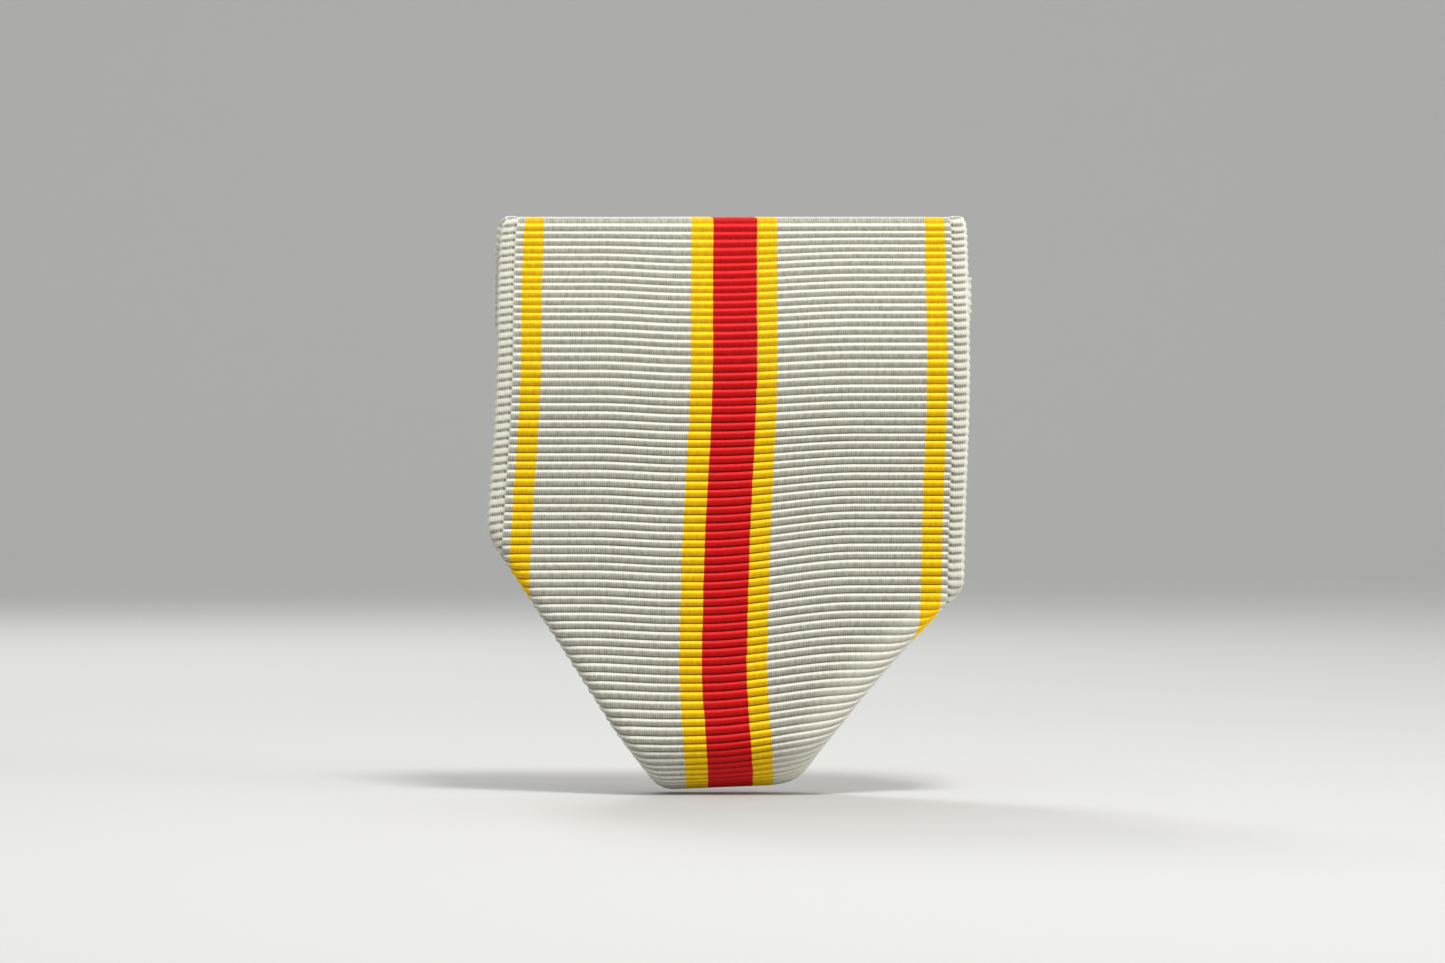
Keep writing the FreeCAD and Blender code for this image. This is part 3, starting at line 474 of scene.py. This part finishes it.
def ribbon_material():
    """Warp threads in their colours, standing side by side over each rib's cord, with shade
    painted on each rib's lower half, in the gaps between ribs and in the selvedge.
    """
    material, tree, shader = new_material("grosgrain")
    across, rib, opened, drawn, rising = (
        attribute(tree, name) for name in ("across", "rib", "open", "drawn", "rising")
    )
    part = calc(tree, "FRACT", rib)
    # Where the strip runs upwards, a rib's lower half comes first, so the painted shade keeps to
    # the lower half of each rib as it hangs.
    down = distance(tree, rising, part)
    number = calc(tree, "FLOOR", rib)
    vector = node(tree, "ShaderNodeCombineXYZ")
    feed(tree, vector.inputs[0], across)
    feed(tree, vector.inputs[1], number)
    cell = vector.outputs[0]
    fine = node(tree, "ShaderNodeCombineXYZ")
    feed(tree, fine.inputs[0], calc(tree, "MULTIPLY", across, 3.4))
    feed(tree, fine.inputs[1], calc(tree, "MULTIPLY", rib, 0.9))
    fine = fine.outputs[0]

    # Stripe edges step sideways by part of a thread from rib to rib.
    wobble = calc(tree, "SUBTRACT", noise(tree, cell, 1.7), 0.5)
    where = calc(tree, "MULTIPLY_ADD", wobble, 0.16, across)
    share = calc(tree, "DIVIDE", where, WIDTH)
    stripes = node(tree, "ShaderNodeValToRGB")
    stripes.color_ramp.interpolation = "CONSTANT"
    feed(tree, stripes.inputs[0], share)
    elements = stripes.color_ramp.elements
    edge = 0
    for index, (colour, width) in enumerate(STRIPES):
        element = elements[0] if index == 0 else (
            elements[1] if index == 1 else elements.new(edge / WIDTH)
        )
        element.position = edge / WIDTH
        element.color = COLOURS[colour]
        edge += width
    colour = stripes.outputs[0]

    # Threads: a fine ridge each, with its own tone. Their dark lines are partly the threads and
    # partly painted shade, drawn only on a rib's lower half.
    sway = calc(tree, "MULTIPLY", calc(tree, "SUBTRACT", noise(tree, cell, 0.9), 0.5), 0.12)
    thread_at = calc(tree, "DIVIDE", calc(tree, "ADD", across, sway), THREAD)
    wave = calc(tree, "SINE", calc(tree, "MULTIPLY", thread_at, 2 * math.pi))
    ridge = calc(tree, "MULTIPLY_ADD", wave, 0.5, 0.5)
    thread_shade = noise(tree, fine, 1.0, 2.0, 0.65)
    low_half = calc(
        tree, "MULTIPLY", ramp_between(tree, down, 0.30, 0.47),
        inverse(tree, ramp_between(tree, down, 0.96, 1.0)),
    )
    from_edge = calc(tree, "MINIMUM", across, calc(tree, "SUBTRACT", WIDTH, across))
    body = ramp_between(tree, from_edge, SELVEDGE - 0.1, SELVEDGE + 0.1)
    # Painted shade in the gaps between ribs, toothed by the threads and deeper where the ribs
    # stand open.
    gap = ramp_between(tree, distance(tree, part, 0.5), 0.35, 0.48)
    teeth = calc(tree, "MULTIPLY_ADD", ridge, -0.7, 1.1)
    painted_gap_shade = calc(tree, "MULTIPLY", gap, teeth, clamp=True)
    painted_gap_shade = calc(tree, "MULTIPLY", painted_gap_shade, calc(tree, "MULTIPLY_ADD", opened, 0.72, 0.25))
    strands = inverse(tree, ramp_between(tree, thread_shade, 0.38, 0.58))
    lines = calc(
        tree, "ADD", calc(tree, "MULTIPLY_ADD", ridge, -0.42, 0.6),
        calc(tree, "MULTIPLY", strands, 0.13),
    )
    lines = calc(tree, "MULTIPLY", low_half, lines)
    # The painted shade is lighter on dyed threads than on white ones.
    channels = node(tree, "ShaderNodeSeparateColor")
    feed(tree, channels.inputs[0], colour)
    clearness = calc(tree, "MULTIPLY_ADD", channels.outputs[2], 0.8, 0.42)
    lines = calc(tree, "MULTIPLY", lines, clearness)
    dark = calc(tree, "MULTIPLY", calc(tree, "MAXIMUM", painted_gap_shade, lines), body)
    # Less painted shade where the cloth is drawn tight round the right fold.
    dark = calc(tree, "MULTIPLY", dark, calc(tree, "MULTIPLY_ADD", drawn, -0.75, 1.0))
    # Painted shade: each loop of the selvedge leaves a hole at its inner end, beside a rib's top,
    # and the hole is painted dark.
    from_hole = distance(tree, from_edge, SELVEDGE - 0.1)
    hole_across = inverse(tree, ramp_between(tree, from_hole, 0.04, 0.17))
    hole_along = inverse(tree, ramp_between(tree, distance(tree, part, 0.25), 0.08, 0.32))
    hole = calc(tree, "MULTIPLY", calc(tree, "MULTIPLY", hole_across, hole_along), 0.85)
    left = calc(tree, "LESS_THAN", across, WIDTH / 2)
    outward = inverse(tree, calc(tree, "DIVIDE", from_edge, SELVEDGE), clamp=True)
    lag_left, lag_right = (
        calc(tree, "MULTIPLY_ADD", outward, growth, inner)
        for inner, growth in (LEFT_LAG, RIGHT_LAG)
    )
    lag = calc(
        tree, "ADD", calc(tree, "MULTIPLY", lag_left, left),
        calc(tree, "MULTIPLY", lag_right, inverse(tree, left)),
    )
    # Painted shade on the lower half of each selvedge loop, lined by the threads.
    loop_part = calc(tree, "FRACT", calc(tree, "SUBTRACT", rib, lag))
    loop_low = ramp_between(tree, distance(tree, rising, loop_part), 0.5, 0.75)
    outer = ramp_between(tree, from_edge, 0.12, 0.3)
    painted_loop_shade = calc(tree, "MULTIPLY", loop_low, calc(tree, "MULTIPLY_ADD", ridge, -0.55, 0.85))
    painted_loop_shade = calc(tree, "MULTIPLY", calc(tree, "MULTIPLY", painted_loop_shade, outer), inverse(tree, body))
    dark = calc(tree, "MAXIMUM", dark, calc(tree, "MAXIMUM", hole, painted_loop_shade))
    # Painted shade: a rib's lower half gets a deeper, darker colour, as light passed from thread
    # to thread would give it.
    deeper = node(tree, "ShaderNodeGamma")
    feed(tree, deeper.inputs["Color"], colour)
    feed(tree, deeper.inputs["Gamma"], calc(tree, "MULTIPLY_ADD", low_half, 0.45, 1.0))
    colour = deeper.outputs[0]
    # All the painted shade above darkens the colour towards SHADE.
    shaded = mix_colour(tree, dark, colour, mix_colour(tree, 1.0, colour, SHADE, "MULTIPLY"))
    tone = calc(tree, "MULTIPLY_ADD", thread_shade, 0.34, 0.83)
    tint = node(tree, "ShaderNodeCombineColor")
    for socket in tint.inputs[:3]:
        feed(tree, socket, tone)
    finished = mix_colour(tree, 1.0, shaded, tint.outputs[0], "MULTIPLY")
    feed(tree, shader.inputs["Base Color"], finished)
    shader.inputs["Roughness"].default_value = 0.5
    shader.inputs["Specular IOR Level"].default_value = 0.16
    shader.inputs["Sheen Weight"].default_value = 0.04
    shader.inputs["Sheen Roughness"].default_value = 0.4

    relief = calc(tree, "MULTIPLY_ADD", thread_shade, 0.5, calc(tree, "MULTIPLY", ridge, 0.55))
    bump = node(tree, "ShaderNodeBump")
    bump.inputs["Strength"].default_value = 0.55
    bump.inputs["Distance"].default_value = 0.03 * MM
    feed(tree, bump.inputs["Height"], relief)
    feed(tree, shader.inputs["Normal"], bump.outputs[0])
    return material


def metal_material(name, colour, dark, roughness, scale):
    """Formed metal: slight tarnish in patches, fine drawn lines, small dents in the gloss."""
    material, tree, shader = new_material(name)
    position = node(tree, "ShaderNodeTexCoord").outputs["Object"]
    patches = noise(tree, position, 260.0, 4.0, 0.6)
    stretched = node(tree, "ShaderNodeMapping")
    feed(tree, stretched.inputs["Vector"], position)
    stretched.inputs["Scale"].default_value = (scale, 40 * scale, 40 * scale)
    lines = noise(tree, stretched.outputs[0], 120.0, 3.0, 0.7)
    tarnish = ramp_between(tree, patches, 0.42, 0.72)
    feed(tree, shader.inputs["Base Color"], mix_colour(tree, tarnish, colour, dark))
    shader.inputs["Metallic"].default_value = 1.0
    rough = calc(tree, "MULTIPLY_ADD", patches, 0.22, roughness - 0.11)
    feed(tree, shader.inputs["Roughness"], rough)
    bump = node(tree, "ShaderNodeBump")
    bump.inputs["Strength"].default_value = 0.15
    bump.inputs["Distance"].default_value = 0.02 * MM
    feed(tree, bump.inputs["Height"], calc(tree, "MULTIPLY_ADD", patches, 0.2, lines))
    feed(tree, shader.inputs["Normal"], bump.outputs[0])
    return material


# ---------------------------------------------------------------- the object
ribbon = weave_strip()
ribbon.data.materials.append(ribbon_material())
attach(ribbon, "drape")
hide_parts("ribbon")

GILT = metal_material("gilt_brass", (0.83, 0.62, 0.27, 1), (0.62, 0.43, 0.17, 1), 0.34, 6.0)
BRASS = metal_material("yellow_brass", (0.80, 0.63, 0.30, 1), (0.55, 0.40, 0.17, 1), 0.28, 3.0)
STEEL = metal_material("pin_steel", (0.74, 0.73, 0.70, 1), (0.55, 0.54, 0.52, 1), 0.24, 2.0)
METALS = {
    "brooch_plate": GILT, "clamp_bar": GILT, "hinge_bracket": BRASS, "hinge_pivot": STEEL,
    "pin_stem": STEEL, "catch_body": BRASS, "catch_lock": BRASS, "hinge_rivet": BRASS,
    "catch_rivet": BRASS,
}
for name, metal in METALS.items():
    data = bpy.data.objects[name].data
    for index in range(len(data.materials)):
        data.materials[index] = metal

# ---------------------------------------------------------------- stage, light and camera
def pale_bowl(floor_z):
    """A floor that curves up into a wall all round, far from the object."""
    flat, rise, wall, steps = 0.8, 0.7, 0.95, 14
    outline = [(0.0, 0.0), (flat, 0.0)]
    for k in range(1, steps + 1):
        turn = math.pi / 2 * k / steps
        outline.append((flat + rise * math.sin(turn), rise * (1 - math.cos(turn))))
    outline.append((flat + rise, wall))
    around = 96
    points, faces = [(0.0, 0.0, floor_z)], []
    for radius, height in outline[1:]:
        for k in range(around):
            turn = 2 * math.pi * k / around
            points.append((radius * math.cos(turn), radius * math.sin(turn), floor_z + height))
    for k in range(around):
        faces.append((0, 1 + k, 1 + (k + 1) % around))
    for ring in range(len(outline) - 2):
        a, b = 1 + ring * around, 1 + (ring + 1) * around
        for k in range(around):
            after = (k + 1) % around
            faces.append((a + k, b + k, b + after, a + after))
    mesh = bpy.data.meshes.new("pale_floor")
    mesh.from_pydata(points, [], faces)
    mesh.polygons.foreach_set("use_smooth", [True] * len(mesh.polygons))
    floor = bpy.data.objects.new("pale_floor", mesh)
    bpy.context.scene.collection.objects.link(floor)
    material, _, shader = new_material("floor_paper")
    shader.inputs["Base Color"].default_value = (0.50, 0.50, 0.49, 1)
    shader.inputs["Roughness"].default_value = 0.9
    shader.inputs["Specular IOR Level"].default_value = 0.2
    mesh.materials.append(material)


def area_light(name, place, target, size, watts, colour=(1, 1, 1)):
    light = bpy.data.lights.new(name, "AREA")
    light.shape = "SQUARE"
    light.size = size
    light.energy = watts
    light.color = colour
    lamp = bpy.data.objects.new(name, light)
    lamp.location = place
    lamp.rotation_euler = (Vector(target) - Vector(place)).to_track_quat("-Z", "Y").to_euler()
    bpy.context.scene.collection.objects.link(lamp)


FLOOR_GAP = 0.0004
pale_bowl(CAD_BOX[0][2] - FLOOR_GAP)
TARGET = (-0.0006, 0.0, -0.0141)
area_light("key", (0.045, -0.125, 0.235), TARGET, 0.06, 0.60, (1.0, 0.985, 0.955))
area_light("side_fill", (0.45, -0.24, 0.12), TARGET, 0.30, 1.1)
area_light("back_key", (-0.12, 0.30, 0.26), TARGET, 0.12, 0.7)
area_light("wall_back", (0.0, 0.95, 1.45), (0.0, 1.5, 0.1), 1.0, 6.5)
area_light("wall_front", (0.0, -0.95, 1.45), (0.0, -1.5, 0.1), 1.0, 4.5)

world = bpy.data.worlds.new("studio")
bpy.context.scene.world = world
world.use_nodes = True
background = world.node_tree.nodes["Background"]
background.inputs["Color"].default_value = (0.98, 0.99, 1.0, 1)
background.inputs["Strength"].default_value = 0.62
bpy.context.scene.view_settings.view_transform = "Standard"

# The picture is 106.6 mm wide at the ribbon's front, which is seen straight on.
FRAME_WIDTH = 0.1066
FRONT_Y = -0.0065
DISTANCE = 0.32
# In mm, as Blender's lens is.
SENSOR_WIDTH = 36.0
camera = bpy.data.objects.new("camera", bpy.data.cameras.new("camera"))
camera.data.sensor_width = SENSOR_WIDTH
camera.data.lens = SENSOR_WIDTH * DISTANCE / FRAME_WIDTH
camera.data.clip_start = 0.01
camera.location = (TARGET[0], FRONT_Y - DISTANCE, TARGET[2])
camera.rotation_euler = (math.pi / 2, 0, 0)
bpy.context.scene.collection.objects.link(camera)
bpy.context.scene.camera = camera

bpy.context.view_layer.update()
